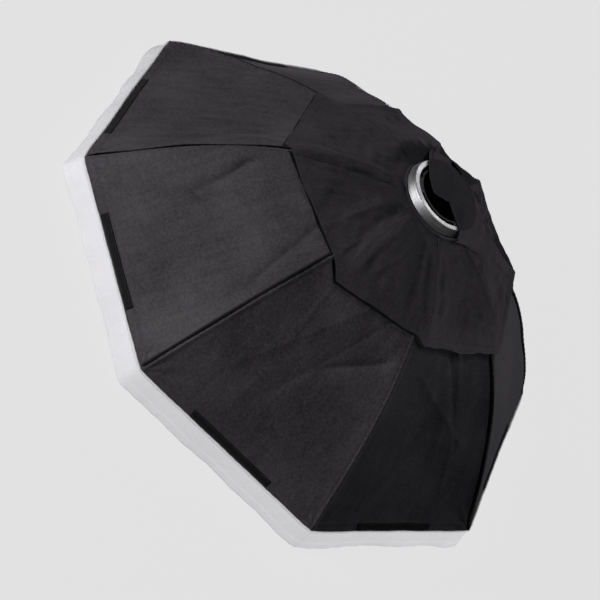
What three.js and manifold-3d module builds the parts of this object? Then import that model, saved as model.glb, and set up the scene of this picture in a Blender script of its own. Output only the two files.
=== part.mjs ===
// An octagonal studio softbox for a flash head: a black fabric shell stretched by eight bowed rods,
// a fabric hood over the rear, a metal speed ring with a turning three-lug insert and its lock knob,
// a white front diffuser, and a smaller white baffle strapped across the inside.
// Millimetres. The light's axis is +Z with the speed ring up; the front hem rests on z = 0.
import * as THREE from "three";
import { mergeVertices } from "three/addons/utils/BufferGeometryUtils.js";
import Module from "manifold-3d";

const wasm = await Module();
wasm.setup();

// ---- Driving dimensions ----
const sides = 8;
const rimRadius = 475; // axis to a corner of the rim: the box is 950 mm across its corners
const skirtDepth = 42; // how far the diffuser's skirt stands in front of the rim
const domeDepth = 282; // rim to the place where the rods enter the speed ring
const neckRadius = 72.5; // corners of the fabric's opening, close around the speed ring
const fabricThickness = 1.2;
const clearance = 0.35; // between pieces that touch in use
const rodRadius = 2.5;
const hoodRadius = 256; // corners of the hood's hem
const hoodTwist = 4; // degrees by which the hood's hem sits turned on the rods
const ringRadius = 66.5;
const ringTop = 349;
const ringBottom = 306;
const knobAzimuth = 315; // degrees
const lugCount = 3;

const neckHeight = skirtDepth + domeDepth;
const sector = 360 / sides;
const radians = THREE.MathUtils.degToRad;

// ---- Materials ----
const finish = (color, roughness, metalness = 0) =>
  new THREE.MeshStandardMaterial({ color, roughness, metalness });
const shellFabric = finish(0x2b2a2d, 0.85);
const hoodFabric = finish(0x242326, 0.85);
const stripFabric = finish(0x111112, 0.95);
const diffuserFabric = finish(0xe6e6ea, 0.8);
const silverMetal = finish(0xb4b4b8, 0.35, 0.9);
const blackMetal = finish(0x18181a, 0.45, 0.6);
const springSteel = finish(0x8a8c90, 0.3, 0.9);
const blackPlastic = finish(0x1a1a1c, 0.5);
const nylon = finish(0xd8d4c8, 0.6);

// ---- Solids ----
// A geometry as a manifold-3d solid, placed by an optional matrix.
function solidOf(geometry, matrix = new THREE.Matrix4()) {
  const bare = new THREE.BufferGeometry();
  bare.setAttribute("position", geometry.getAttribute("position").clone());
  if (geometry.index) bare.setIndex(geometry.index.clone());
  bare.applyMatrix4(matrix);
  const merged = mergeVertices(bare, 1e-3);
  return new wasm.Manifold(
    new wasm.Mesh({
      numProp: 3,
      vertProperties: merged.getAttribute("position").array,
      triVerts: new Uint32Array(merged.index.array),
    }),
  );
}

function geometryOf(solid) {
  const mesh = solid.getMesh();
  const geometry = new THREE.BufferGeometry();
  geometry.setAttribute("position", new THREE.BufferAttribute(mesh.vertProperties, 3));
  geometry.setIndex(new THREE.BufferAttribute(mesh.triVerts, 1));
  const flatShaded = geometry.toNonIndexed();
  flatShaded.computeVertexNormals();
  return flatShaded;
}

function part(name, geometry, material) {
  const mesh = new THREE.Mesh(geometry, material);
  mesh.name = name;
  return mesh;
}

// A closed solid between two grids of points, outer[row][column] and inner[row][column].
// Rows run from the rim towards the neck and columns run anticlockwise seen from +Z.
// A wrapped sheet joins its last column to its first.
function sheet(outer, inner, wrapped = false) {
  const rows = outer.length;
  const columns = outer[0].length;
  const points = [...outer.flat(), ...inner.flat()];
  const at = (side, row, column) => side * rows * columns + row * columns + (column % columns);
  const index = [];
  const quad = (a, b, c, d) => index.push(a, b, c, a, c, d);
  const steps = wrapped ? columns : columns - 1;
  for (let row = 0; row < rows - 1; row++) {
    for (let column = 0; column < steps; column++) {
      const corners = (side) => [
        at(side, row, column),
        at(side, row, column + 1),
        at(side, row + 1, column + 1),
        at(side, row + 1, column),
      ];
      quad(...corners(0));
      quad(...corners(1).reverse());
    }
    if (!wrapped) {
      quad(at(0, row, 0), at(0, row + 1, 0), at(1, row + 1, 0), at(1, row, 0));
      const last = columns - 1;
      quad(at(0, row + 1, last), at(0, row, last), at(1, row, last), at(1, row + 1, last));
    }
  }
  for (let column = 0; column < steps; column++) {
    quad(at(0, 0, column + 1), at(0, 0, column), at(1, 0, column), at(1, 0, column + 1));
    const top = rows - 1;
    quad(at(0, top, column), at(0, top, column + 1), at(1, top, column + 1), at(1, top, column));
  }
  const geometry = new THREE.BufferGeometry();
  geometry.setAttribute(
    "position",
    new THREE.Float32BufferAttribute(points.flatMap((p) => p.toArray()), 3),
  );
  geometry.setIndex(index);
  return geometry;
}

// A lathe turned about +Z; with eight segments its corners stand in line with the rods.
function turned(profile, segments, isOctagon = false) {
  const points = profile.map(([r, z]) => new THREE.Vector2(r, z));
  return new THREE.LatheGeometry(points, segments, isOctagon ? radians(sector / 2) : 0).rotateX(
    Math.PI / 2,
  );
}

// Placement of something built along +Z so that it points outwards at an azimuth and height.
// The slope in radians dips its far end below the horizontal.
function radially(azimuth, radius, height, slope = 0) {
  return new THREE.Matrix4()
    .makeRotationZ(radians(azimuth))
    .multiply(new THREE.Matrix4().makeTranslation(radius, 0, height))
    .multiply(new THREE.Matrix4().makeRotationY(Math.PI / 2 + slope));
}

// A cylinder that starts at the origin and runs along +Z.
const post = (radius, length, segments) =>
  new THREE.CylinderGeometry(radius, radius, length, segments)
    .rotateX(Math.PI / 2)
    .translate(0, 0, length / 2);

// ---- The shell's form ----
// Seam line over a rod, as radius against height: steep at the rim and nearly flat at the neck.
const seam = new THREE.CubicBezierCurve(
  new THREE.Vector2(rimRadius, skirtDepth),
  new THREE.Vector2(0.876 * rimRadius, skirtDepth + 0.23 * domeDepth),
  new THREE.Vector2(0.644 * rimRadius, skirtDepth + 0.925 * domeDepth),
  new THREE.Vector2(0.149 * rimRadius, neckHeight),
);
const seamLength = seam.getLength();
const cornerAzimuth = (k) => sector * (k - 0.5);

// A point of the seam's profile, moved out of the box by an offset square to the seam.
function profilePoint(t, offset) {
  const along = seam.getTangent(t);
  return seam.getPoint(t).add(new THREE.Vector2(along.y, -along.x).multiplyScalar(offset));
}

// The seam parameter at which the profile has a given radius.
function seamAtRadius(radius) {
  let low = 0;
  let high = 1;
  while (high - low > 1e-6) {
    const middle = (low + high) / 2;
    if (seam.getPoint(middle).x > radius) low = middle;
    else high = middle;
  }
  return low;
}

const onAzimuth = (azimuth, { x: radius, y: height }) =>
  new THREE.Vector3(
    radius * Math.cos(radians(azimuth)),
    radius * Math.sin(radians(azimuth)),
    height,
  );

// A point between corners k and k + 1, on the straight line that taut cloth makes between two rods.
const shellPoint = (k, fraction, t, offset) =>
  onAzimuth(cornerAzimuth(k), profilePoint(t, offset)).lerp(
    onAzimuth(cornerAzimuth(k + 1), profilePoint(t, offset)),
    fraction,
  );

const chordAt = (t) => 2 * seam.getPoint(t).x * Math.sin(radians(sector / 2));
const spread = (from, to, steps) =>
  Array.from({ length: steps + 1 }, (_, i) => from + ((to - from) * i) / steps);
const neckParameter = seamAtRadius(neckRadius);

// ---- Fabric pieces ----
function shellPanel(k) {
  const layer = (offset) =>
    spread(0, neckParameter, 12).map((t) => {
      const gap = clearance / 2 / chordAt(t);
      return [shellPoint(k, gap, t, offset), shellPoint(k, 1 - gap, t, offset)];
    });
  return part(`shell_panel_${k}`, sheet(layer(0), layer(-fabricThickness)), shellFabric);
}

// A cloth patch laid on the outside of the shell around corner k.
const patchThickness = 1.5;
function cornerPatch(k) {
  const halfWidth = 34;
  const height = 50;
  const layer = (offset) =>
    spread(0.004, height / seamLength, 3).map((t) => {
      const share = halfWidth / chordAt(t);
      return [
        shellPoint(k - 1, 1 - share, t, offset),
        shellPoint(k, 0, t, offset),
        shellPoint(k, share, t, offset),
      ];
    });
  const outer = layer(clearance + patchThickness);
  return part(`corner_patch_${k}`, sheet(outer, layer(clearance)), hoodFabric);
}

// Hook-and-loop strip along the middle of each rim edge, which holds a grid or the diffuser's hem.
function rimStrip(k) {
  const length = 150;
  const width = 18;
  const start = 4;
  const layer = (offset) =>
    spread(start / seamLength, (start + width) / seamLength, 1).map((t) => {
      const share = length / 2 / chordAt(t);
      return [shellPoint(k, 0.5 - share, t, offset), shellPoint(k, 0.5 + share, t, offset)];
    });
  const outer = layer(clearance + patchThickness);
  return part(`rim_strip_${k}`, sheet(outer, layer(clearance)), stripFabric);
}

// The hood stands off the shell at its hem and closes on the shell at the neck. A notch at the neck
// leaves the lock knob free.
function hood() {
  const hemStandOff = 8;
  const neckStandOff = 3;
  const notchWidth = 24;
  const start = seamAtRadius(hoodRadius);
  const layer = (extra) =>
    spread(0, 1, 6).map((s) => {
      const t = THREE.MathUtils.lerp(start, neckParameter, s);
      const standOff = THREE.MathUtils.lerp(hemStandOff, neckStandOff, Math.sqrt(s));
      const twist = hoodTwist * (1 - s) ** 2;
      return spread(1, sides, sides - 1).map((k) =>
        onAzimuth(cornerAzimuth(k) + twist, profilePoint(t, standOff + extra)),
      );
    });
  const cloth = solidOf(sheet(layer(fabricThickness), layer(0), true));
  const notch = new THREE.BoxGeometry(notchWidth, notchWidth, 40).translate(0, 0, 20);
  const cut = solidOf(notch, radially(knobAzimuth, ringRadius - 10, neckHeight + 6));
  return part("hood", geometryOf(cloth.subtract(cut)), hoodFabric);
}

// White cord sewn into the rim, an octagon in plan.
function rimPiping() {
  const radius = 2;
  const centre = new THREE.Vector2(rimRadius + 3.5, skirtDepth - 1.5);
  const profile = spread(0, 360, 8).map((angle) => [
    centre.x + radius * Math.cos(radians(angle)),
    centre.y + radius * Math.sin(radians(angle)),
  ]);
  return part("rim_piping", turned(profile, sides, true), diffuserFabric);
}

// Front cloth with a flat hem to stand on and a skirt that flares forward from the rim.
function frontDiffuser() {
  const hemRadius = 1.035 * rimRadius;
  const hemWidth = 10;
  const hemHeight = 3;
  const top = skirtDepth - 4;
  const wall = 1.5;
  const profile = [
    [0, hemHeight + wall],
    [hemRadius - wall - 2, hemHeight + wall],
    [rimRadius + 1, top],
    [rimRadius + 1 + wall, top],
    [hemRadius, 0],
    [hemRadius - hemWidth, 0],
    [hemRadius - hemWidth, hemHeight],
    [0, hemHeight],
  ];
  return part("front_diffuser", turned(profile.reverse(), sides, true), diffuserFabric);
}

// ---- Rods ----
// Distance from the seam line to the rod's centre line: close under the cloth at the rim, deeper at
// the ring, so that the rod's socket clears the cloth.
const rodInset = (t) => THREE.MathUtils.lerp(6, 11, t);
const socketLength = 24;
const socketFoot = ringRadius - 2.5; // where a socket starts, inside the ring's wall
const mouthParameter = seamAtRadius(socketFoot + socketLength);
const rodPoint = (t) => profilePoint(t, -rodInset(t));
const socketMouth = rodPoint(mouthParameter);
const socketSlope = (() => {
  const before = rodPoint(mouthParameter - 0.01);
  return Math.atan2(socketMouth.y - before.y, before.x - socketMouth.x);
})();
// A point inside the socket, a distance from its mouth along its own line.
const inSocket = (distance) =>
  new THREE.Vector2(
    socketMouth.x - distance * Math.cos(socketSlope),
    socketMouth.y + distance * Math.sin(socketSlope),
  );
const tipParameter = 22 / seamLength;

function along(curvePoints, azimuth) {
  return new THREE.CatmullRomCurve3(curvePoints.map((p) => onAzimuth(azimuth, p)));
}

function roundSection(radius, points) {
  const shape = new THREE.Shape();
  shape.absarc(0, 0, radius, 0, 2 * Math.PI);
  return new THREE.Shape(shape.getSpacedPoints(points).slice(0, points));
}

function rod(k) {
  const freeRun = spread(tipParameter, mouthParameter, 14).map(rodPoint);
  const path = along([...freeRun, inSocket(10), inSocket(socketLength - 4)], cornerAzimuth(k));
  const geometry = new THREE.ExtrudeGeometry(roundSection(rodRadius, 8), {
    steps: 18,
    extrudePath: path,
    bevelEnabled: false,
  });
  return part(`rod_${k}`, geometry, springSteel);
}

// Moulded cap on the rod's rim end, which sits in the sewn corner.
function rodTip(k) {
  const length = 14;
  const tip = rodPoint(tipParameter);
  const back = rodPoint(tipParameter + 0.01);
  const slope = Math.atan2(back.y - tip.y, tip.x - back.x);
  const cap = turned(
    [
      [0, clearance],
      [rodRadius, clearance],
      [rodRadius, length - 2],
      [rodRadius - 1.5, length],
      [0, length],
    ],
    10,
  );
  const matrix = radially(cornerAzimuth(k), tip.x, tip.y, slope);
  return part(`rod_tip_${k}`, cap.applyMatrix4(matrix), blackPlastic);
}

// ---- Inner baffle ----
const baffleRadius = 270;
const strapParameter = 0.5; // where along the rods the baffle's straps are tied
const baffleHeight = rodPoint(strapParameter).y;

function innerBaffle() {
  const profile = [
    [0, baffleHeight],
    [baffleRadius, baffleHeight],
    [baffleRadius, baffleHeight + fabricThickness],
    [0, baffleHeight + fabricThickness],
  ];
  return part("inner_baffle", turned(profile, sides, true), diffuserFabric);
}

// Elastic strap from a corner of the baffle towards the rod beside it.
function baffleStrap(k) {
  const width = 14;
  const start = baffleRadius + clearance;
  const end = rodPoint(strapParameter).x - 2 * rodRadius;
  const strap = new THREE.BoxGeometry(end - start, width, fabricThickness)
    .translate((start + end) / 2, 0, baffleHeight + fabricThickness / 2)
    .rotateZ(radians(cornerAzimuth(k)));
  return part(`baffle_strap_${k}`, strap, stripFabric);
}

// ---- Speed ring, insert and lock ----
const insertRadius = 61.7;
const ringBore = insertRadius + clearance;
const lipBore = 54;
const flangeTop = 337.6;
const flangeBottom = 329.6;
const clipThickness = 1.6;
const clipBottom = flangeBottom - clearance - clipThickness;
const knobHeight = (flangeTop + flangeBottom) / 2;
const screwRadius = 2.2;
const screwBore = screwRadius + clearance;
const bossEnd = ringRadius + 6.5;

function speedRing() {
  const topRadius = ringRadius - 3;
  const chamfer = 1;
  const grooveRadius = ringBore + 1.6;
  const profile = [
    [ringBore, ringBottom],
    [ringRadius, ringBottom],
    [ringRadius, flangeBottom],
    [topRadius, ringTop - chamfer],
    [topRadius - chamfer, ringTop],
    [lipBore, ringTop],
    [lipBore, flangeTop + clearance],
    [ringBore, flangeTop + clearance],
    [ringBore, flangeBottom],
    [grooveRadius, flangeBottom],
    [grooveRadius, clipBottom - clearance],
    [ringBore, clipBottom - clearance],
    [ringBore, ringBottom],
  ];
  let solid = solidOf(turned(profile, 48));
  const socketWall = 2.6;
  const boreRadius = rodRadius + 0.5;
  const socket = post(boreRadius + socketWall, socketLength, 12);
  const bore = post(boreRadius, socketLength, 12);
  for (let k = 1; k <= sides; k++) {
    const foot = inSocket(socketLength);
    const blindEnd = inSocket(socketLength - 3);
    const place = (p) => radially(cornerAzimuth(k), p.x, p.y, socketSlope);
    solid = solid.add(solidOf(socket, place(foot)));
    solid = solid.subtract(solidOf(bore, place(blindEnd)));
  }
  const bossStart = ringBore + 1;
  const boss = post(5.5, bossEnd - bossStart, 20);
  solid = solid.add(solidOf(boss, radially(knobAzimuth, bossStart, knobHeight)));
  const hole = post(screwBore, 20, 16);
  solid = solid.subtract(solidOf(hole, radially(knobAzimuth, ringBore - 3, knobHeight)));
  return part("speed_ring", geometryOf(solid), silverMetal);
}

// An annular sector standing on z = 0.
function arcBlock(innerRadius, outerRadius, height, from, to, segments) {
  const shape = new THREE.Shape();
  shape.absarc(0, 0, outerRadius, radians(from), radians(to), false);
  shape.absarc(0, 0, innerRadius, radians(to), radians(from), true);
  return new THREE.ExtrudeGeometry(shape, {
    depth: height,
    bevelEnabled: false,
    curveSegments: segments,
  });
}

// Turning ring that carries the flash head: a flange under the speed ring's lip, and a collar with
// lugs that point outwards.
function bayonetInsert() {
  const collarBore = 46;
  const collarRadius = 49;
  const collarTop = ringTop - 0.5;
  const lugRadius = lipBore - 0.7;
  const lugHeight = 3.5;
  const lugWidth = 32; // degrees
  const profile = [
    [collarBore, flangeBottom],
    [insertRadius, flangeBottom],
    [insertRadius, flangeTop],
    [collarRadius, flangeTop],
    [collarRadius, collarTop],
    [collarBore, collarTop],
    [collarBore, flangeBottom],
  ];
  let solid = solidOf(turned(profile, 48));
  for (let lug = 0; lug < lugCount; lug++) {
    const middle = (360 / lugCount) * lug + knobAzimuth;
    const from = middle - lugWidth / 2;
    const block = arcBlock(collarRadius - 1, lugRadius, lugHeight, from, from + lugWidth, 8);
    solid = solid.add(solidOf(block.translate(0, 0, collarTop - lugHeight)));
  }
  return part("bayonet_insert", geometryOf(solid), blackMetal);
}

// Open spring clip in the speed ring's groove, which carries the insert's flange.
function retainingClip() {
  const opening = 24;
  const from = knobAzimuth + opening / 2;
  const to = from + 360 - opening;
  const clip = arcBlock(insertRadius - 6, ringBore + 1, clipThickness, from, to, 40);
  return part("retaining_clip", clip.translate(0, 0, clipBottom), springSteel);
}

// Screw with a fluted head; its end pushes the pad.
const padLength = 3;
const padStart = insertRadius + clearance;
const screwStart = padStart + padLength + clearance;
function lockKnob() {
  const headStart = bossEnd + 1;
  const headLength = 10;
  const lobes = 8;
  const outline = spread(0, 360, 48)
    .slice(0, 48)
    .map((angle) => {
      const radius = 6 + 0.5 * Math.cos(radians(lobes * angle));
      return new THREE.Vector2(radius * Math.cos(radians(angle)), radius * Math.sin(radians(angle)));
    });
  const head = new THREE.ExtrudeGeometry(new THREE.Shape(outline), {
    depth: headLength,
    bevelEnabled: false,
  });
  const shank = post(screwRadius, headStart - screwStart + 1, 16);
  const solid = solidOf(head, radially(knobAzimuth, headStart, knobHeight)).add(
    solidOf(shank, radially(knobAzimuth, screwStart, knobHeight)),
  );
  return part("lock_knob", geometryOf(solid), blackPlastic);
}

// Soft pad between the screw's end and the insert's flange.
function lockPad() {
  const matrix = radially(knobAzimuth, padStart, knobHeight);
  return part("lock_pad", post(screwRadius, padLength, 16).applyMatrix4(matrix), nylon);
}

// ---- Assembly ----
const softbox = new THREE.Group();
softbox.name = "studio_softbox";
for (let k = 1; k <= sides; k++) {
  softbox.add(shellPanel(k), cornerPatch(k), rimStrip(k));
  softbox.add(rod(k), rodTip(k), baffleStrap(k));
}
softbox.add(hood(), rimPiping(), frontDiffuser(), innerBaffle());
softbox.add(speedRing(), bayonetInsert(), retainingClip(), lockKnob(), lockPad());

export default softbox;
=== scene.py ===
"""Looks of the studio softbox: sewn cloth, turned metal and the studio around them, in metres."""
import math

import bmesh
import bpy
import numpy as np
from mathutils import Matrix, Vector


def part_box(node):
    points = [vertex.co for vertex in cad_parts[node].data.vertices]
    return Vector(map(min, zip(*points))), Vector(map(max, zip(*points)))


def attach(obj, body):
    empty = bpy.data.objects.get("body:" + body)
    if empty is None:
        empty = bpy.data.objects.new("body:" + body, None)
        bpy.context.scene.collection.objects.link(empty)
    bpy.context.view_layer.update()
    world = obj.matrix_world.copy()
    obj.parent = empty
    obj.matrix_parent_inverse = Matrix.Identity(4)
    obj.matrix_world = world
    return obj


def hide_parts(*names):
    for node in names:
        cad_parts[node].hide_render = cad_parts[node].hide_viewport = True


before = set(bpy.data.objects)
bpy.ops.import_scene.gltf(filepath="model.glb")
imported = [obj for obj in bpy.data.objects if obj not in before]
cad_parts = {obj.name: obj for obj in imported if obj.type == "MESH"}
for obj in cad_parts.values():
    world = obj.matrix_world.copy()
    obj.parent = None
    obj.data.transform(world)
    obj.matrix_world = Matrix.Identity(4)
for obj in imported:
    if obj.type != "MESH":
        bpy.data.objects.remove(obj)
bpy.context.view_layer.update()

# ---------------------------------------------------------------- driving sizes
MM = 0.001
SIDES = 8
SECTOR = 2 * math.pi / SIDES
PANELS = range(1, SIDES + 1)
UP = np.array([0.0, 0.0, 1.0])

panel_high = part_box("shell_panel_1")[1]
piping_low, piping_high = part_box("rim_piping")
ring_low, ring_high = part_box("speed_ring")
insert_low, insert_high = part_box("bayonet_insert")
hem_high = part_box("front_diffuser")[1]
knob_low, knob_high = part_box("lock_knob")

RIM_RADIUS = panel_high.x / math.cos(SECTOR / 2)
RIM_Z = (piping_low.z + piping_high.z) / 2 + 1.5 * MM
NECK_Z = panel_high.z
DOME_DEPTH = NECK_Z - RIM_Z
HEM_RADIUS = hem_high.x / math.cos(SECTOR / 2)
RING_TOP = ring_high.z
RING_BOTTOM = ring_low.z
RING_RADIUS = 0.14 * RIM_RADIUS
NECK_RADIUS = RING_RADIUS + 6 * MM
INSERT_RADIUS = insert_high.x
LIP_BORE = 54 * MM  # radius of the hole in the ring's top lip
FLANGE_TOP = insert_high.z - 10.9 * MM
COLLAR_BORE = 46 * MM
COLLAR_RADIUS = 49 * MM
LUGS = 3
LUG_HALF = math.radians(16)
KNOB_ANGLE = math.atan2(knob_low.y + knob_high.y, knob_low.x + knob_high.x)
KNOB_Z = (knob_low.z + knob_high.z) / 2

VIEW_AZIMUTH = math.radians(117.6)  # where the camera stands, seen from the box
VIEW_ELEVATION = math.radians(38.2)
VIEW_ROLL = math.radians(55.4)
VIEW_DISTANCE = 7.66 * RIM_RADIUS


# ---------------------------------------------------------------- the shell's form
def bezier(points, t):
    p0, p1, p2, p3 = points
    t = np.asarray(t)[:, None]
    return p0 * (1 - t) ** 3 + 3 * p1 * t * (1 - t) ** 2 + 3 * p2 * t * t * (1 - t) + p3 * t ** 3


SEAM_CONTROL = np.array([(1, 0), (0.876, 0.23), (0.644, 0.925), (0.149, 1)])
seam_curve = bezier(SEAM_CONTROL * (RIM_RADIUS, DOME_DEPTH) + (0, RIM_Z), np.linspace(0, 1, 800))
seam_steps = np.diff(seam_curve, axis=0)
seam_s = np.concatenate([[0], np.cumsum(np.hypot(*seam_steps.T))])
seam_tangent = np.gradient(seam_curve, axis=0)
seam_tangent /= np.hypot(*seam_tangent.T)[:, None]


def s_at_radius(radius):
    return np.interp(-radius, -seam_curve[:, 0], seam_s)


NECK_S = float(s_at_radius(NECK_RADIUS))


def profile(s, offset):
    """Radius and height of the seam line at a distance s from the rim, moved outwards by offset."""
    r = np.interp(s, seam_s, seam_curve[:, 0])
    z = np.interp(s, seam_s, seam_curve[:, 1])
    across = np.interp(s, seam_s, seam_tangent[:, 0])
    up = np.interp(s, seam_s, seam_tangent[:, 1])
    return r + offset * up, z - offset * across


def corner_angle(k):
    return SECTOR * (k - 0.5)


def octagon(u):
    """Unit octagon: u = 3.25 is a quarter of the way from corner 3 to corner 4."""
    k = np.floor(u)
    f = u - k
    a, b = corner_angle(k), corner_angle(k + 1)
    return (1 - f) * np.cos(a) + f * np.cos(b), (1 - f) * np.sin(a) + f * np.sin(b)


def cloth(u, s, offset):
    """Points of the taut shell at a place round it, u, and a distance s from the rim."""
    r, z = profile(s, offset)
    x, y = octagon(u)
    return np.stack(np.broadcast_arrays(r * x, r * y, z), axis=-1)


def polar(radius, angle, z):
    """Points at a radius, an angle about Z and a height."""
    return np.stack(np.broadcast_arrays(radius * np.cos(angle), radius * np.sin(angle), z), axis=-1)


def chord(s):
    """Width of a panel at a distance s from the rim."""
    return 2 * profile(s, 0)[0] * math.sin(SECTOR / 2)


def turned_from(angle, middle):
    """How far an angle is from another, either way round."""
    return np.abs((angle - middle + np.pi) % (2 * np.pi) - np.pi)


def smooth(x, low, high):
    """A soft step from 0 at low to 1 at high."""
    t = np.clip((x - low) / (high - low), 0, 1)
    return t * t * (3 - 2 * t)


def ripples(x, y, wavelengths, count, seed):
    """Soft random waves of height about one, a sum of sines in random directions."""
    draw = np.random.default_rng(seed)
    total = 0
    for _ in range(count):
        wave = 2 * math.pi / draw.uniform(*wavelengths)
        angle = draw.uniform(0, math.pi)
        phase = draw.uniform(0, 2 * math.pi)
        total = total + np.sin(wave * (x * math.cos(angle) + y * math.sin(angle)) + phase)
    return total / math.sqrt(count)


SLACK_SIDE = math.radians(292)  # the direction in which the cloth hangs loosest
ROD_DROP = np.array([26, 0, 0, 0, 0, 20, 22, 34]) * MM  # how far the middles of rods 1 to 8 stand low


def sector_place(x, y):
    """For a point in plan: the corner before it, its share of the way on, and its corner radius."""
    angle = np.arctan2(y, x) % (2 * np.pi)
    k = np.floor(angle / SECTOR + 0.5)
    aside = angle - SECTOR * k
    f = 0.5 + np.tan(aside) / (2 * math.tan(SECTOR / 2))
    return k, f, np.hypot(x, y) * np.cos(aside) / math.cos(SECTOR / 2)


def settled(points):
    """Lets the far side of the dome down a little: its rods are bent less than the others."""
    k, f, radius = sector_place(points[..., 0], points[..., 1])
    before, after = np.asarray(k - 1, int) % SIDES, np.asarray(k, int) % SIDES
    rho = radius / RIM_RADIUS
    drop = ROD_DROP[before] * (1 - f) + ROD_DROP[after] * f
    drop = drop * smooth(rho, 0.2, 0.42) * (1 - smooth(rho, 0.72, 0.97))
    return points - drop[..., None] * UP


# ---------------------------------------------------------------- meshes
def new_object(name, vertices, faces, materials, smooth_shading=True):
    mesh = bpy.data.meshes.new(name)
    mesh.from_pydata([tuple(v) for v in vertices], [], faces)
    for material in materials:
        mesh.materials.append(material)
    if smooth_shading:
        mesh.shade_smooth()
    obj = bpy.data.objects.new(name, mesh)
    bpy.context.scene.collection.objects.link(obj)
    return obj


def set_uv(obj, uv):
    """Gives each vertex its place on the flat cloth, in metres."""
    layer = obj.data.uv_layers.new(name="cloth_metres")
    index = np.zeros(len(obj.data.loops), np.int32)
    obj.data.loops.foreach_get("vertex_index", index)
    layer.data.foreach_set("uv", np.asarray(uv, np.float32)[index].ravel())


def grid_faces(columns, rows, wrap, keep=None, closed_rows=False):
    """Faces of a grid of points; wrap joins the last column to the first, closed_rows the last row."""
    faces = []
    for i in range(columns if wrap else columns - 1):
        n = (i + 1) % columns
        for j in range(rows if closed_rows else rows - 1):
            if keep is not None and not keep[i, j]:
                continue
            m = (j + 1) % rows
            faces.append((i * rows + j, n * rows + j, n * rows + m, i * rows + m))
    return faces


def unit(vectors):
    return vectors / np.maximum(np.linalg.norm(vectors, axis=-1, keepdims=True), 1e-12)


def grid_normals(points, wrap=False):
    if wrap:
        du = np.roll(points, -1, axis=0) - np.roll(points, 1, axis=0)
    else:
        du = np.gradient(points, axis=0)
    return unit(np.cross(du, np.gradient(points, axis=1)))


def displaced(points, height):
    return points + grid_normals(points) * height[..., None]


def sheet(name, points, materials, thickness, uv=None, wrap=False, keep=None):
    """Cloth on a grid of points[column, row], given its thickness on the inside."""
    columns, rows = points.shape[:2]
    obj = new_object(name, points.reshape(-1, 3), grid_faces(columns, rows, wrap, keep), materials)
    if uv is None:
        along = np.linalg.norm(np.diff(points, axis=0), axis=-1)
        down = np.linalg.norm(np.diff(points, axis=1), axis=-1)
        u = np.vstack([np.zeros(rows), np.cumsum(along, axis=0)])
        v = np.hstack([np.zeros((columns, 1)), np.cumsum(down, axis=1)])
        uv = np.stack([u, v], axis=-1)
    set_uv(obj, uv.reshape(-1, 2))
    solid = obj.modifiers.new("thickness", "SOLIDIFY")
    solid.thickness = thickness
    solid.offset = -1
    if len(materials) > 1:
        solid.material_offset = 1
    return obj


def lathe(name, outline, material, segments):
    """A closed outline of (radius, height) turned about Z; outlines run anticlockwise."""
    outline = np.array(outline, float)
    angles = np.arange(segments) * 2 * math.pi / segments
    columns = polar(outline[None, :, 0], angles[:, None], outline[None, :, 1])
    faces = grid_faces(segments, len(outline), True, closed_rows=True)
    return new_object(name, columns.reshape(-1, 3), faces, [material])


def rounded(corners, radius, steps=3):
    """A closed outline with each corner cut by a small arc."""
    corners = [np.array(c, float) for c in corners]
    result = []
    for i, here in enumerate(corners):
        before, after = corners[i - 1], corners[(i + 1) % len(corners)]
        cut = min(radius, np.linalg.norm(before - here) / 2.2, np.linalg.norm(after - here) / 2.2)
        start = here + (before - here) / np.linalg.norm(before - here) * cut
        end = here + (after - here) / np.linalg.norm(after - here) * cut
        for t in np.linspace(0, 1, steps + 1):
            result.append((1 - t) ** 2 * start + 2 * t * (1 - t) * here + t * t * end)
    return result


def tube(name, path, radius, material, sides=16, closed=False):
    """A round bar along a path of points; radius may be one number or one per point."""
    path = np.array(path, float)
    count = len(path)
    radius = np.broadcast_to(radius, (count,))
    if closed:
        tangent = np.roll(path, -1, axis=0) - np.roll(path, 1, axis=0)
    else:
        tangent = np.gradient(path, axis=0)
    tangent /= np.linalg.norm(tangent, axis=1)[:, None]
    side = np.cross(tangent, UP)
    side /= np.maximum(np.linalg.norm(side, axis=1), 1e-9)[:, None]
    up = np.cross(side, tangent)
    turn = np.arange(sides) * 2 * math.pi / sides
    ring = side[:, None] * np.cos(turn)[None, :, None] + up[:, None] * np.sin(turn)[None, :, None]
    vertices = path[:, None] + ring * radius[:, None, None]
    faces = [(a, d, c, b) for a, b, c, d in grid_faces(count, sides, closed, closed_rows=True)]
    if not closed:
        faces.append(tuple(reversed(range(sides))))
        faces.append(tuple((count - 1) * sides + j for j in range(sides)))
    return new_object(name, vertices.reshape(-1, 3), faces, [material])


# One stitch is a short six-sided thread whose ends dive into the cloth. A ring of it has its place along the
# stitch as a share of the length, then its width and its height as shares of the thread's radius.
STITCH_RINGS = ((-0.5, 0.2, -0.6), (-0.32, 0.9, 0.25), (0, 1.0, 0.45), (0.32, 0.9, 0.25), (0.5, 0.2, -0.6))
STITCH_PITCH = 4.2 * MM
STITCH_LENGTH = 3.0 * MM
THREAD_RADIUS = 0.32 * MM
THREAD_SIDES = 6


def resampled(values, run, places):
    """Rows of values read off at places along a run."""
    return np.stack([np.interp(places, run, values[:, i]) for i in range(3)], axis=1)


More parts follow.
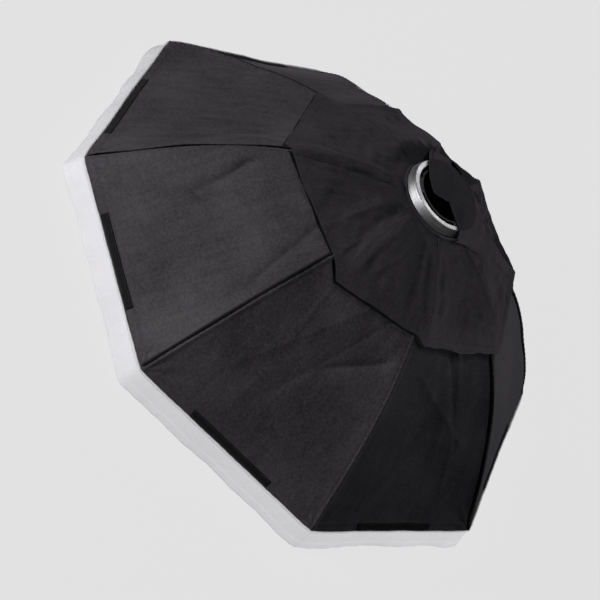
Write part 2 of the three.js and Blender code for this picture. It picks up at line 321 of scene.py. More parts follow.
def stitching(name, rows, slot):
    """Black threads along rows; a row is (points, normals) with any spacing."""
    vertices, faces = [], []
    stitch_faces = grid_faces(len(STITCH_RINGS), THREAD_SIDES, False, closed_rows=True)
    for points, normals in rows:
        points, normals = np.asarray(points), np.asarray(normals)
        steps = np.linalg.norm(np.diff(points, axis=0), axis=1)
        run = np.concatenate([[0], np.cumsum(steps)])
        places = np.arange(STITCH_PITCH / 2, run[-1], STITCH_PITCH)
        centre = resampled(points, run, places)
        forward = unit(resampled(points, run, places + 0.3 * MM) - centre)
        normal = unit(resampled(normals, run, places))
        side = np.cross(forward, normal)
        for c, f, n, s in zip(centre, forward, normal, side):
            base = len(vertices)
            for shift, width, height in STITCH_RINGS:
                middle = c + f * shift * STITCH_LENGTH + n * height * THREAD_RADIUS
                for angle in np.arange(THREAD_SIDES) * 2 * math.pi / THREAD_SIDES:
                    spoke = s * math.cos(angle) + n * math.sin(angle)
                    vertices.append(middle + spoke * THREAD_RADIUS * width)
            faces.extend(tuple(base + corner for corner in face) for face in stitch_faces)
            faces.append(tuple(base + j for j in range(THREAD_SIDES)))
            last = base + THREAD_SIDES * (len(STITCH_RINGS) - 1)
            faces.append(tuple(last + j for j in reversed(range(THREAD_SIDES))))
    place(new_object(name, vertices, faces, [BLACK_THREAD]), slot)


# ---------------------------------------------------------------- materials
class Nodes:
    """A node material being built, with short forms for the nodes used here."""

    def __init__(self, name):
        self.material = bpy.data.materials.new(name)
        self.material.use_nodes = True
        self.tree = self.material.node_tree
        self.shader = self.tree.nodes["Principled BSDF"]

    def add(self, kind, inputs=(), **settings):
        node = self.tree.nodes.new("ShaderNode" + kind)
        for key, value in settings.items():
            setattr(node, key, value)
        for key, value in dict(inputs).items():
            self.feed(node, key, value)
        return node

    def feed(self, node, key, value):
        if isinstance(value, bpy.types.NodeSocket):
            self.tree.links.new(value, node.inputs[key])
        else:
            node.inputs[key].default_value = value

    def math(self, operation, a, b=0.0):
        return self.add("Math", {0: a, 1: b}, operation=operation).outputs[0]

    def plus(self, a, b):
        return self.math("ADD", a, b)

    def times(self, a, b):
        return self.math("MULTIPLY", a, b)

    def mapped(self, value, low, high, to_low=0.0, to_high=1.0):
        inputs = {"Value": value, "From Min": low, "From Max": high, "To Min": to_low, "To Max": to_high}
        return self.add("MapRange", inputs).outputs[0]

    def mix(self, factor, a, b):
        node = self.add("Mix", data_type="RGBA")
        self.feed(node, "Factor", factor)
        self.feed(node, 6, a)
        self.feed(node, 7, b)
        return node.outputs[2]

    def scaled(self, colour, factor):
        node = self.add("VectorMath", {0: colour}, operation="SCALE")
        self.feed(node, "Scale", factor)
        return node.outputs[0]

    def stretched(self, vector, scale):
        return self.add("Mapping", {"Vector": vector, "Scale": scale}).outputs[0]

    def bumped(self, strength, distance, height):
        return self.add("Bump", {"Strength": strength, "Distance": distance, "Height": height}).outputs[0]

    def here(self):
        """The place on the piece, in metres."""
        return self.add("TexCoord").outputs["Object"]

    def on_cloth(self):
        """The place on the flat cloth, in metres."""
        return self.add("UVMap", uv_map="cloth_metres").outputs["UV"]

    def worn_edges(self, sharpness):
        return self.mapped(self.add("NewGeometry").outputs["Pointiness"], 0.5, sharpness)

    def noise(self, vector, scale, detail=3.0, roughness=0.5):
        inputs = {"Vector": vector, "Scale": scale, "Detail": detail, "Roughness": roughness}
        return self.add("TexNoise", inputs).outputs["Fac"]

    def set(self, **values):
        for key, value in values.items():
            self.feed(self.shader, key.replace("_", " "), value)


def rgb(value, tint=(1.0, 1.0, 1.0)):
    return (value * tint[0], value * tint[1], value * tint[2], 1.0)


COOL = (1.03, 0.955, 1.065)  # the faint purple of black nylon


def woven(name, value, tint=COOL, thread=0.9 * MM, roughness=0.7, sheen=0.08, bump=0.55,
          variation=0.17, dust=0.05, painted_glow=0.0, shine=0.25):
    """Plain-weave cloth: threads over and under, slubs, faint lint and soft colour variation, with painted
    sheen in long stretched bands and, if asked, painted light from emission.
    """
    n = Nodes(name)
    uv = n.on_cloth()
    place = n.here()
    split = n.add("SeparateXYZ", {0: uv})
    turns = 2 * math.pi / (2 * thread)
    warp = n.math("SINE", n.times(split.outputs["X"], turns))
    weft = n.math("SINE", n.times(split.outputs["Y"], turns))
    weave = n.times(warp, weft)
    slub = n.noise(uv, 420.0, 2.0)
    sheen_streak = n.noise(n.stretched(uv, (70.0, 9.0, 1.0)), 1.0, 4.0, 0.6)
    broad = n.noise(place, 7.0, 3.0)
    grain = n.noise(place, 240.0, 4.0, 0.7)
    lint = n.mapped(n.noise(place, 900.0, 1.0), 0.72, 0.8)
    height = n.plus(n.times(weave, 0.5), n.times(slub, 0.8))
    height = n.plus(height, n.times(grain, 0.9))
    tone = n.plus(n.mapped(broad, 0.3, 0.7, 1 - variation, 1 + variation),
                  n.mapped(grain, 0.35, 0.65, -variation, variation))
    # painted sheen: long stretched bands of noise lighten and darken the cloth's tone
    tone = n.plus(tone, n.mapped(sheen_streak, 0.3, 0.7, -0.5 * variation, 0.5 * variation))
    tone = n.plus(tone, n.times(weave, 0.07))
    base = n.scaled(rgb(value, tint)[:3], tone)
    colour = n.mix(n.times(lint, dust), base, rgb(min(1.0, value * 3 + 0.05)))
    n.set(Base_Color=colour, Normal=n.bumped(bump, 0.25 * MM, height))
    n.set(Roughness=n.mapped(grain, 0.2, 0.8, roughness - 0.08, roughness + 0.08))
    n.set(Sheen_Weight=sheen, Sheen_Roughness=0.45, Specular_IOR_Level=shine)
    n.set(Sheen_Tint=rgb(1.0, tint), Specular_Tint=rgb(0.9, tint))
    # painted light: emission brightens the cloth, most where it faces down, though the cloth is no lamp
    if painted_glow:
        facing = n.add("SeparateXYZ", {0: n.add("NewGeometry").outputs["True Normal"]}).outputs["Z"]
        n.set(Emission_Color=colour, Emission_Strength=n.mapped(facing, -0.6, -0.9, painted_glow, painted_glow + 0.9))
    return n.material


def lining(name):
    """The shell's inside: crinkled silver film on cloth."""
    n = Nodes(name)
    place = n.here()
    crinkle = n.noise(place, 55.0, 6.0, 0.65)
    fine = n.noise(place, 700.0, 2.0)
    height = n.plus(crinkle, n.times(fine, 0.15))
    tone = n.mapped(crinkle, 0.3, 0.7, 0.5, 0.72)
    n.set(Base_Color=n.mix(tone, rgb(0.35), rgb(0.8)), Metallic=0.85, Normal=n.bumped(0.5, 1.2 * MM, height))
    n.set(Roughness=n.mapped(crinkle, 0.3, 0.7, 0.3, 0.5))
    return n.material


def pile(name, value):
    """Hook-and-loop tape: a matt fuzz of tiny loops."""
    n = Nodes(name)
    place = n.here()
    loops = n.add("TexVoronoi", {"Vector": place, "Scale": 900.0}).outputs["Distance"]
    fuzz = n.noise(place, 500.0, 4.0, 0.7)
    colour = n.mix(n.mapped(fuzz, 0.35, 0.7), rgb(value * 0.6, COOL), rgb(value * 1.7, COOL))
    n.set(Base_Color=colour, Roughness=0.95, Normal=n.bumped(0.8, 0.6 * MM, n.plus(loops, fuzz)))
    n.set(Sheen_Weight=0.05, Specular_IOR_Level=0.1)
    return n.material


def ribbed(name, value, pitch=2.0 * MM):
    """Elastic webbing with ribs across its length."""
    n = Nodes(name)
    uv = n.on_cloth()
    split = n.add("SeparateXYZ", {0: uv})
    rib = n.math("SINE", n.times(split.outputs["X"], 2 * math.pi / pitch))
    fibre = n.noise(uv, 900.0, 2.0)
    height = n.plus(n.times(rib, 0.5), fibre)
    colour = n.mix(n.mapped(fibre, 0.3, 0.7), rgb(value * 0.7), rgb(value * 1.5))
    n.set(Base_Color=colour, Roughness=0.8, Normal=n.bumped(0.6, 0.5 * MM, height))
    return n.material


def metal(name, value, roughness, tint=(1.0, 1.0, 1.02), rings=0.0, scratch=0.25, metallic=1.0):
    """Machined metal: fine turning marks about Z, smudges and light scratches."""
    n = Nodes(name)
    place = n.here()
    smudge = n.noise(place, 45.0, 4.0, 0.6)
    marks = n.noise(n.stretched(place, (90.0, 90.0, 4200.0)), 1.0, 3.0)
    brushed = n.noise(n.stretched(place, (14.0, 14.0, 300.0)), 1.0, 3.0, 0.6)
    bands = n.mapped(brushed, 0.35, 0.65, 1 - 0.3 * rings, 1 + 0.3 * rings)
    scratches = n.mapped(n.noise(place, 1500.0, 2.0), 0.66, 0.75)
    height = n.plus(n.times(marks, rings), n.times(scratches, 0.3))
    colour = n.mix(n.mapped(smudge, 0.3, 0.75), rgb(value * 0.82, tint), rgb(value * 1.08, tint))
    colour = n.mix(n.times(n.worn_edges(0.56), 0.5), colour, rgb(min(0.85, value * 1.5 + 0.08), tint))
    n.set(Base_Color=n.scaled(colour, bands), Metallic=metallic, Normal=n.bumped(scratch, 0.1 * MM, height))
    n.set(Roughness=n.mapped(smudge, 0.25, 0.75, roughness - 0.06, roughness + 0.1))
    return n.material


def moulded(name, value, tint=(1.0, 1.0, 1.0), roughness=0.5):
    """Spark-textured moulded plastic with scuffed edges."""
    n = Nodes(name)
    place = n.here()
    spark = n.noise(place, 2200.0, 3.0, 0.6)
    scuff = n.noise(place, 130.0, 4.0)
    colour = n.mix(n.mapped(scuff, 0.3, 0.7), rgb(value * 0.85, tint), rgb(value * 1.15, tint))
    colour = n.mix(n.times(n.worn_edges(0.58), 0.4), colour, rgb(min(0.9, value * 1.8 + 0.03), tint))
    n.set(Base_Color=colour, Normal=n.bumped(0.35, 0.12 * MM, spark))
    n.set(Roughness=n.mapped(scuff, 0.3, 0.7, roughness - 0.07, roughness + 0.07))
    return n.material


SHELL_CLOTH = woven("shell_cloth", 0.036, variation=0.36)
SILVER_LINING = lining("silver_lining")
HOOD_CLOTH = woven("hood_cloth", 0.027, thread=0.8 * MM, sheen=0.03, shine=0.12, variation=0.24)
PATCH_CLOTH = woven("patch_cloth", 0.030, thread=1.3 * MM, bump=0.5)
TAPE = pile("hook_and_loop", 0.008)
# A near-black pile used as painted shade in the seam grooves and as painted shadow under the hood's hem.
SHADE_TAPE = pile("seam_tape", 0.004)
ELASTIC = ribbed("elastic_webbing", 0.02)
# The diffuser cloth carries painted light: emission that keeps its face bright.
WHITE_CLOTH = woven("diffuser_cloth", 0.6, tint=(1.0, 0.985, 1.02), thread=0.6 * MM, roughness=0.6,
                    bump=0.12, variation=0.03, dust=0.0, painted_glow=0.16)
WHITE_INSIDE = woven("white_cloth_inside", 0.5, tint=(1, 1, 1), thread=0.6 * MM, bump=0.12, variation=0.03,
                     dust=0.0)
PIPING_CLOTH = woven("piping_cloth", 0.6, tint=(1, 1, 1.02), thread=0.5 * MM, sheen=0.1, bump=0.3,
                     variation=0.02, dust=0.0)
BLACK_THREAD = woven("black_thread", 0.022, thread=0.3 * MM, sheen=0.2, dust=0.0)
SILVER = metal("turned_aluminium", 0.36, 0.5, rings=1.0, scratch=0.5)
BLACK_ANODISED = metal("black_anodised", 0.010, 0.6, rings=0.4, metallic=0.0)
STEEL = metal("spring_steel", 0.45, 0.28, rings=0.2)
BLACK_PLASTIC = moulded("black_plastic", 0.022)
NATURAL_NYLON = moulded("natural_nylon", 0.6, tint=(1.0, 0.96, 0.88), roughness=0.4)


def place(obj, slot, body="softbox", replaces=()):
    """Gives a piece the body it rides on and hides the CAD nodes that it stands for; slot, its material
    slot, is not used.
    """
    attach(obj, body)
    if replaces:
        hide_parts(*replaces)
    return obj


# ---------------------------------------------------------------- shell panels
SHELL_THICKNESS = 0.8 * MM
LAP = 3.5 * MM  # how far each panel laps over the one before it at their seam
HEM_FOLD = 14 * MM
PANEL_SLACK = np.array([0, 0, 0, 0, 4, 8, 12, 22]) * MM  # extra sag of panels 1 to 8
SEAM_TUCK = np.array([2, 6, 5, 0.4, 5, 2, 2, 2]) * MM  # depth of the groove beside seams 1 to 8
TUCK_START = 9 * MM  # the grooves reach their depth this far in from the rim
# Creases pressed into a panel: each runs from one point to another, as metres across from the panel's middle
# line and metres in from the rim.
PRESSED_FOLDS = {
    2: [((-0.125, 0.31), (-0.06, 0.17)), ((-0.11, 0.33), (-0.07, 0.15)), ((0.02, 0.36), (0.1, 0.2))],
    3: [((0.11, 0.3), (0.02, 0.2))],
}


def fold_line(x, y, start, end, depth, width):
    """A soft crease left by packing, along the line through two points."""
    (x0, y0), (x1, y1) = start, end
    length = math.hypot(x1 - x0, y1 - y0)
    off = ((x - x0) * (y1 - y0) - (y - y0) * (x1 - x0)) / length
    along = ((x - x0) * (x1 - x0) + (y - y0) * (y1 - y0)) / length
    fade = smooth(along, -20 * MM, 20 * MM) * (1 - smooth(along, length - 20 * MM, length + 20 * MM))
    return depth * np.exp(-np.abs(off) / width) * fade


def belly(f):
    """From 0 at a panel's two seams to 1 at its middle."""
    f = np.clip(f, 0, 1)
    return 4 * f * (1 - f)


def sag(k, f, s):
    """How far the cloth of panel k hangs in between its rods."""
    loose = np.sin(np.pi * np.clip(s / NECK_S, 0, 1)) ** 0.8
    slack = PANEL_SLACK[(np.asarray(k, int) - 1) % SIDES]
    return belly(f) * (chord(s) * (0.004 + 0.018 * loose) + slack * loose)


def seam_groove(k, after, s):
    """Depth of the groove before the next seam, at a distance after from that seam."""
    tuck = SEAM_TUCK[k % SIDES]
    inside = 1 - smooth(after, 5 * MM, 7.5 * MM + 0.4 * tuck)
    return tuck * inside * smooth(s, 0, TUCK_START) * (0.8 + 0.2 * np.sin(s / (23 * MM) + k))


def creases(k, x, s):
    """The pressed folds of panel k and three shallow ones in random places."""
    height = np.zeros(np.broadcast(x, s).shape)
    for start, end in PRESSED_FOLDS.get(k, ()):
        height += fold_line(x, s, start, end, -5.5 * MM, 9 * MM)
    draw = np.random.default_rng(100 + k)
    for _ in range(3):
        start = (draw.uniform(-0.12, 0.12), draw.uniform(0.05, 0.2))
        end = (draw.uniform(-0.1, 0.1), draw.uniform(0.25, 0.42))
        height += fold_line(x, s, start, end, draw.choice([-1.7, 1.3]) * MM, 8 * MM)
    return height


def corner_rumple(k, from_seam, s):
    """Small wrinkles that fan out from a rim corner."""
    distance = np.hypot(from_seam, s)
    fan = np.arctan2(s, from_seam + 1e-6)
    strength = np.exp(-distance / (45 * MM)) * smooth(distance, 4 * MM, 25 * MM)
    return 0.8 * MM * np.sin(fan * 11 + k) * strength


def shell_height(k, f, s):
    """Height of panel k's cloth over the flat sheet between its two rods."""
    width = chord(s)
    before, after = f * width, (1 - f) * width
    from_seam = np.minimum(before, after)
    x = (f - 0.5) * width
    middle = belly(f)
    pucker = np.sin(2 * np.pi * s / (14 * MM) + 2.2 * np.sin(s / (37 * MM) + k))
    lapped = 1 - smooth(before, 2 * MM, 8 * MM)
    doubled = 1 - smooth(s, HEM_FOLD - 1.2 * MM, HEM_FOLD + 1.2 * MM)
    height = -sag(k, f, s) - seam_groove(k, after, s)
    height += 0.8 * MM * lapped + 0.55 * MM * doubled
    height += 0.3 * MM * pucker * np.exp(-from_seam / (11 * MM))
    height += 1.4 * MM * ripples(x, s, (0.07, 0.25), 8, 40 + k) * middle
    height += 0.28 * MM * ripples(x, s, (0.02, 0.05), 9, 60 + k) * np.sqrt(middle)
    height += creases(k, x, s) * smooth(from_seam, 8 * MM, 34 * MM)
    height += corner_rumple(k, from_seam, s)
    return height


def shell_columns(count):
    """Places across a panel, closer together towards its two seams."""
    even = np.linspace(0, 1, count)
    return 0.45 * even + 0.55 * (0.5 - 0.5 * np.cos(np.pi * even))


def shell_surface(k, f, s, lift=0.0):
    """Points on panel k, or lifted off it, after the far side has settled."""
    return settled(displaced(cloth(k + f, s, 0.0), shell_height(k, f, s) + lift))


def height_anywhere(k, f, s):
    """shell_height for arrays in which the panel's number k changes from point to point."""
    return sum(np.where(k % SIDES == panel % SIDES, shell_height(panel, f, s), 0) for panel in PANELS)


def step_out(k, s, rise):
    """The step from a point of panel k, s from the rim, straight out of the cloth by rise."""
    r, z = profile(s, 0)
    over_r, over_z = profile(s, 1.0)
    return polar((over_r - r) * rise, SECTOR * k, (over_z - z) * rise)


def on_shell(x, y, lift):
    """Points of the unsettled shell's cloth over a place in plan, raised by lift."""
    k, f, radius = sector_place(x, y)
    s = s_at_radius(radius)
    return cloth(k + f, s, 0.0) + step_out(k, s, height_anywhere(k, f, s) + lift)


def shell_top(x, y):
    """Height of the unsettled shell over a point in plan."""
    k, f, radius = sector_place(x, y)
    s = s_at_radius(radius)
    steep = np.interp(s, seam_s, -seam_tangent[:, 0])
    return profile(s, 0)[1] - sag(k, f, s) / np.maximum(steep, 0.2)


def make_shell_panel(k):
    s = np.concatenate([np.linspace(0, HEM_FOLD + 4 * MM, 12), np.linspace(HEM_FOLD + 7 * MM, NECK_S, 150)])
    f = shell_columns(117)
    # The lapped edge is turned down into the groove beside the seam.
    curl = np.array([1.0, 1.0, 0.93, 0.75, 0.4])
    dip = np.array([1.0, 0.55, 0.2, 0.04, 0.0])
    lap = -LAP / chord(s)
    grid_f = np.concatenate([lap[None, :] * curl[:, None], f[:, None] + 0 * s[None, :]])
    grid_s = np.broadcast_to(s, grid_f.shape)
    depth = SEAM_TUCK[k - 1] * smooth(s, 0, TUCK_START) + 0.9 * MM
    lift = np.concatenate([-dip[:, None] * depth[None, :], np.zeros((len(f), len(s)))])
    points = shell_surface(k, grid_f, grid_s, lift)
    uv = np.stack([(grid_f - 0.5) * chord(grid_s), grid_s], axis=-1)
    panel = sheet(f"panel_{k}", points, [SHELL_CLOTH, SILVER_LINING], SHELL_THICKNESS, uv)
    place(panel, "shell_fabric", replaces=[f"shell_panel_{k}"])


def make_seam_shade_tape(k):
    """A near-black tape in the groove on the far side of panel k: painted shade that draws the seam's dark
    line.
    """
    tuck = SEAM_TUCK[k % SIDES]
    if tuck < 1 * MM:
        return
    s = np.linspace(3 * MM, NECK_S - 4 * MM, 150)
    across = np.linspace(LAP - 0.6 * MM, LAP + 0.6 * MM + 0.9 * tuck, 7)
    grid_f = 1 - across[:, None] / chord(s)[None, :]
    grid_s = np.broadcast_to(s, grid_f.shape)
    fullness = 0.5 * tuck * smooth(s, 0, TUCK_START)[None, :]
    points = cloth(k + grid_f, grid_s, 0.0)
    height = shell_height(k, grid_f, grid_s) + fullness
    tape = sheet(f"seam_tape_{k}", settled(displaced(points, height)), [SHADE_TAPE], 0.5 * MM)
    place(tape, "shell_fabric")


def shell_row(k, f, s, lift=0.2 * MM):
    """Points and normals of a line of thread on panel k."""
    step = 0.4 * MM
    width = chord(s)
    f = np.asarray(f) + 0 * s
    grid_f = np.stack([f - step / width, f, f + step / width])
    points = shell_surface(k, grid_f, np.broadcast_to(s, grid_f.shape), lift)
    return points[1], grid_normals(points)[1]


def rim_row(k, f, s, half_step, lift):
    """Points and normals of a line of thread on panel k that runs along the rim; f is a function of s."""
    beside = s + np.array([-half_step, 0, half_step])
    grid_f = f(beside)
    points = shell_surface(k, grid_f, np.broadcast_to(beside, grid_f.shape), lift)
    return points[:, 1], grid_normals(points)[:, 1]


def make_shell_stitching(k):
    run = np.linspace(6 * MM, NECK_S - 8 * MM, 220)
    seam = shell_row(k, (5 * MM - LAP) / chord(run), run)
    across = np.linspace(0.02, 0.98, 160)
    hem = rim_row(k, lambda s: across[:, None] + 0 * s, HEM_FOLD - 3 * MM, 0.4 * MM, 0.2 * MM)
    stitching(f"panel_stitching_{k}", [seam, hem], "shell_fabric")


# ---------------------------------------------------------------- rim: patches, tapes and piping
POCKET_REACH = 36 * MM
POCKET_HALF = 24 * MM


def pocket_depth(t):
    """How far in from the rim a corner pocket reaches; t is -1 and 1 at its sides."""
    return POCKET_REACH - 9 * MM * np.abs(t) ** 2.5


def make_corner_patch(k):
    """The pocket for the rod's tip inside corner k, and the thread that holds it, seen outside."""
    t = np.linspace(-1, 1, 33)
    rows = np.linspace(0, 1, 22)
    depth = 1.5 * MM + pocket_depth(t)[:, None] * rows[None, :]
    across = t[:, None] * POCKET_HALF + 0 * depth
    points = corner_surface(k, across, depth, -1.3 * MM)
    uv = np.stack([across, depth], axis=-1)
    patch = sheet(f"rim_patch_{k}", points, [PATCH_CLOTH], 0.6 * MM, uv)
    place(patch, "patch_fabric", replaces=[f"corner_patch_{k}"])
    inset = 3 * MM
    edge = POCKET_HALF - inset
    top = np.linspace(-edge, edge, 60)
    sides = np.linspace(4 * MM, POCKET_REACH - 12 * MM, 40)
    border = [(top, pocket_depth(top / POCKET_HALF) - inset)]
    border += [(np.full_like(sides, across), sides) for across in (edge, -edge)]
    rows = []
    for across, depth in border:
        thread = corner_surface(k, across, depth, 0.2 * MM)
        rows.append((thread, corner_surface(k, across, depth, 1.2 * MM) - thread))
    stitching(f"patch_stitching_{k}", rows, "patch_fabric")


def corner_surface(k, across, depth, lift):
    """Cloth around corner k; across is the distance from its rod, positive towards corner k + 1."""
    f = across / chord(depth)
    after = shell_height(k, np.clip(f, 0, 1), depth)
    before = shell_height(k - 1 if k > 1 else SIDES, np.clip(1 + f, 0, 1), depth)
    share = smooth(across, -7 * MM, 7 * MM)
    height = before * (1 - share) + after * share
    height = np.maximum(height, 0.7 * MM * np.exp(-np.abs(across) / (6 * MM)))
    r_out, z_out = profile(depth, height + lift)
    x, y = octagon(k + f)
    return np.stack([r_out * x, r_out * y, z_out], axis=-1)


TAPE_LENGTH = 164 * MM
TAPE_WIDTH = 12 * MM
TAPE_START = 0.8 * MM
TAPE_SHIFT = np.array([25, 0, 0, 0, 0, 0, 0, 0]) * MM  # how far each rim tape lies beyond its panel's middle


def make_rim_tape(k):
    s = TAPE_START + TAPE_WIDTH * shell_columns(13)
    along = TAPE_LENGTH * (shell_columns(70) - 0.5)
    middle = 0.5 + TAPE_SHIFT[k - 1] / chord(0.0)
    f = middle + along[:, None] / chord(s)[None, :]
    from_side = np.minimum(s - TAPE_START, TAPE_START + TAPE_WIDTH - s)
    edge = np.minimum(from_side[None, :], TAPE_LENGTH / 2 - np.abs(along)[:, None])
    lift = 0.6 * MM + 1.1 * MM * smooth(edge, -0.2 * MM, 1.4 * MM)
    tape = sheet(f"tape_{k}", shell_surface(k, f, np.broadcast_to(s, f.shape), lift), [TAPE], 0.6 * MM)
    place(tape, "hook_and_loop", replaces=[f"rim_strip_{k}"])
    inset = 2 * MM
    run = np.linspace(inset - TAPE_LENGTH / 2, TAPE_LENGTH / 2 - inset, 90)
    rows = [rim_row(k, lambda s: middle + run[:, None] / chord(s), line, 0.3 * MM, 1.75 * MM)
            for line in (TAPE_START + inset, TAPE_START + TAPE_WIDTH - inset)]
    stitching(f"tape_stitching_{k}", rows, "hook_and_loop")


def make_piping():
    """The white cord sewn to the shell's edge, rounded at the corners and following the slack edge."""
    per_side = 90
    u = 1 + np.arange(SIDES * per_side) / per_side
    k = np.floor(u)
    f = u - k
    radius = RIM_RADIUS + 2.5 * MM
    x, y = octagon(u)
    from_corner = np.minimum(f, 1 - f)
    pull = 1 - 2.4 * MM / radius * np.exp(-from_corner * 2 * radius * math.sin(SECTOR / 2) / (8 * MM))
    ripple = 0.21 * MM * np.sin(2 * np.pi * u * 23) + 0.3 * MM * np.sin(2 * np.pi * u * 5.3)
    path = np.stack([radius * x * pull, radius * y * pull, RIM_Z - 1.5 * MM + ripple], axis=1)
    follow = smooth(from_corner * chord(0.0), 3 * MM, 25 * MM)
    path += step_out(k, 0.0, height_anywhere(k, f, 0.0) * follow)
    cord = tube("piping", path, 1.9 * MM, PIPING_CLOTH, sides=12, closed=True)
    place(cord, "white_piping", replaces=["rim_piping"])


# ---------------------------------------------------------------- front diffuser
SKIRT_DEPTH = RIM_Z - 4 * MM


def diffuser_rows():
    """The diffuser's section at a corner: rows of radius, height and how much a wave may move it."""
    rows = []
    for t in np.concatenate([np.linspace(0, 0.64, 10), np.linspace(0.66, 0.7, 3), np.linspace(0.75, 1, 5)]):
        r = RIM_RADIUS + 2.2 * MM + (HEM_RADIUS - RIM_RADIUS - 4.8 * MM) * t ** 0.9
        r += 0.8 * MM * float(smooth(t, 0.66, 0.7))  # the hem's doubled cloth
        rows.append((r, SKIRT_DEPTH + (2.2 * MM - SKIRT_DEPTH) * t, 0.25 + 0.75 * t))
    for angle in np.linspace(0, math.pi, 6)[1:]:
        rows.append((HEM_RADIUS - 1.8 * MM - 2.2 * MM * (1 - math.cos(angle)) * 0.8,
                     2.2 * MM - 1.9 * MM * math.sin(angle), 1.0))
    for t in np.linspace(0, 1, 10)[1:]:
        height = (2.2 + 1.4 * smooth(t, 0.6, 1.0)) * MM
        rows.append((HEM_RADIUS - 5.5 * MM - 9 * MM * t, height, 0.8 * (1 - t)))
    for r in np.linspace(HEM_RADIUS - 20 * MM, 12 * MM, 34):
        rows.append((r, 3.8 * MM, 0.0))
    return np.array(rows)


def make_diffuser():
    rows = diffuser_rows()
    per_side = 44
    u = 1 + np.arange(SIDES * per_side) / per_side
    f = u - np.floor(u)
    x, y = octagon(u)
    r, z, loose = rows[:, 0], rows[:, 1], rows[:, 2]
    scallop = np.sin(2 * np.pi * u * 3.125 + 1.5 * np.sin(u * 5)) + 0.3 * np.sin(2 * np.pi * u * 11 + 2)
    wave_in = 1.6 * MM * scallop - 3.4 * MM * belly(f)
    radial = 1 + loose[None, :] * wave_in[:, None] / RIM_RADIUS
    near = np.minimum(f, 1 - f) * 2 * RIM_RADIUS * math.sin(SECTOR / 2)
    radial *= 1 - 0.006 * np.exp(-near / (6 * MM))[:, None]
    px, py = r[None, :] * x[:, None] * radial, r[None, :] * y[:, None] * radial
    inside = smooth(HEM_RADIUS - r, 18 * MM, 60 * MM)[None, :]
    dome = 7 * MM * (1 - (r / HEM_RADIUS) ** 2)[None, :] * inside
    pucker = 0.5 * MM * np.sin(2 * np.pi * u * 29)[:, None]
    pucker = pucker * np.exp(-np.abs(HEM_RADIUS - 24 * MM - r) / (18 * MM))[None, :] * inside
    waves = 0.35 * MM * ripples(px, py, (0.12, 0.4), 8, 5) * inside
    hem_lift = np.abs(loose * (1 - smooth(z, 3 * MM, 20 * MM)))[None, :] * 0.4 * MM
    hem_lift = hem_lift * (1 + np.sin(2 * np.pi * u * 5))[:, None]
    pz = np.maximum(z[None, :] + dome + pucker + waves + hem_lift, 0.9 * MM)
    points = np.stack([px, py, pz], axis=-1)
    down = np.concatenate([[0], np.cumsum(np.hypot(np.diff(r), np.diff(z)))])
    round_it = u[:, None] * 2 * r[None, :] * math.sin(SECTOR / 2)
    uv = np.stack([round_it, np.broadcast_to(down, px.shape)], axis=-1)
    obj = sheet("diffuser", points[:, ::-1], [WHITE_CLOTH, WHITE_INSIDE], 0.7 * MM, uv[:, ::-1], wrap=True)
    close_hole(obj, points[:, -1])
    place(obj, "diffuser_fabric", replaces=["front_diffuser"])


def close_hole(obj, ring):
    """Fills the small octagon inside a ring of points left at the middle of a round cloth."""
    mesh = bmesh.new()
    mesh.from_mesh(obj.data)
    keys = {tuple(np.round(point, 6)) for point in ring}

    def on_ring(edge):
        return edge.is_boundary and all(tuple(np.round(vertex.co, 6)) in keys for vertex in edge.verts)

    bmesh.ops.holes_fill(mesh, edges=[edge for edge in mesh.edges if on_ring(edge)], sides=0)
    mesh.to_mesh(obj.data)
    mesh.free()


# ---------------------------------------------------------------- hood
HOOD_THICKNESS = 0.9 * MM
HOOD_HEM = 15 * MM
HEM_RADII = np.array([247, 253, 245, 237, 257, 238, 240, 242]) * MM  # how far out hem corners 1 to 8 are
HEM_TURNS = np.radians([1, -2.7, 8, 5.7, 3.5, 4, 2, 2])  # how far each lies round from the shell's corner
HEM_ROUNDING = np.array([2, 2, 2, 2, 9, 8, 6, 6]) * MM  # how far each is rounded off
HEM_HUG = 0.8  # share of its height over the shell that the hem's elastic draws out of the cloth
HOOD_LENGTH = NECK_S - s_at_radius(0.255)  # from the hem's furthest corner to the neck, along the cloth
# Folds in the hood: start and end as (radius in mm, azimuth in degrees), then height in mm.
HOOD_FOLDS = [((236, 73), (120, 82), -3.4), ((222, 82), (140, 90), 2.2), ((232, 101), (120, 96), 3.0),
              ((232, 29), (120, 42), -3.2), ((222, 50), (105, 47), 2.8), ((232, 152), (110, 146), 3.4),
              ((205, 128), (110, 140), -2.6), ((225, 186), (110, 176), -3.4), ((215, 172), (130, 166), 2.6)]
WALL = RING_RADIUS + 1.7 * MM  # cloth standing against the speed ring
COLLAR_BASE = NECK_Z + 5 * MM


def hood_corner(k, v):
    """Hood ridge k at a share v of the way from hem to neck: x, y, z."""
    i = (np.asarray(k, int) - 1) % SIDES
    s = s_at_radius(HEM_RADII[i]) * (1 - v) + NECK_S * v
    stand_off = (11 - 6.5 * np.sqrt(np.clip(v, 0, 1))) * MM
    r, z = profile(s, stand_off)
    return polar(r, corner_angle(i + 1) + HEM_TURNS[i] * np.clip(1 - v, 0, 1) ** 1.5, z)


def hood_flat(u, v):
    """hood_surface with flat panels between straight ridges."""
    k = np.floor(u)
    f = (u - k)[..., None]
    return hood_corner(k, v) * (1 - f) + hood_corner(k + 1, v) * f


def hem_rounding(u, v):
    """Factors that draw the hood's hem in at its corners."""
    corner = np.asarray(np.floor(u + 0.5) - 1, int) % SIDES
    from_corner = np.abs(u - np.floor(u + 0.5)) * 0.19
    pull = HEM_ROUNDING[corner] / HEM_RADII[corner] * np.exp(-from_corner / (14 * MM)) * (1 - v) ** 4
    return np.stack([1 - pull, 1 - pull, np.ones_like(pull)], axis=-1)


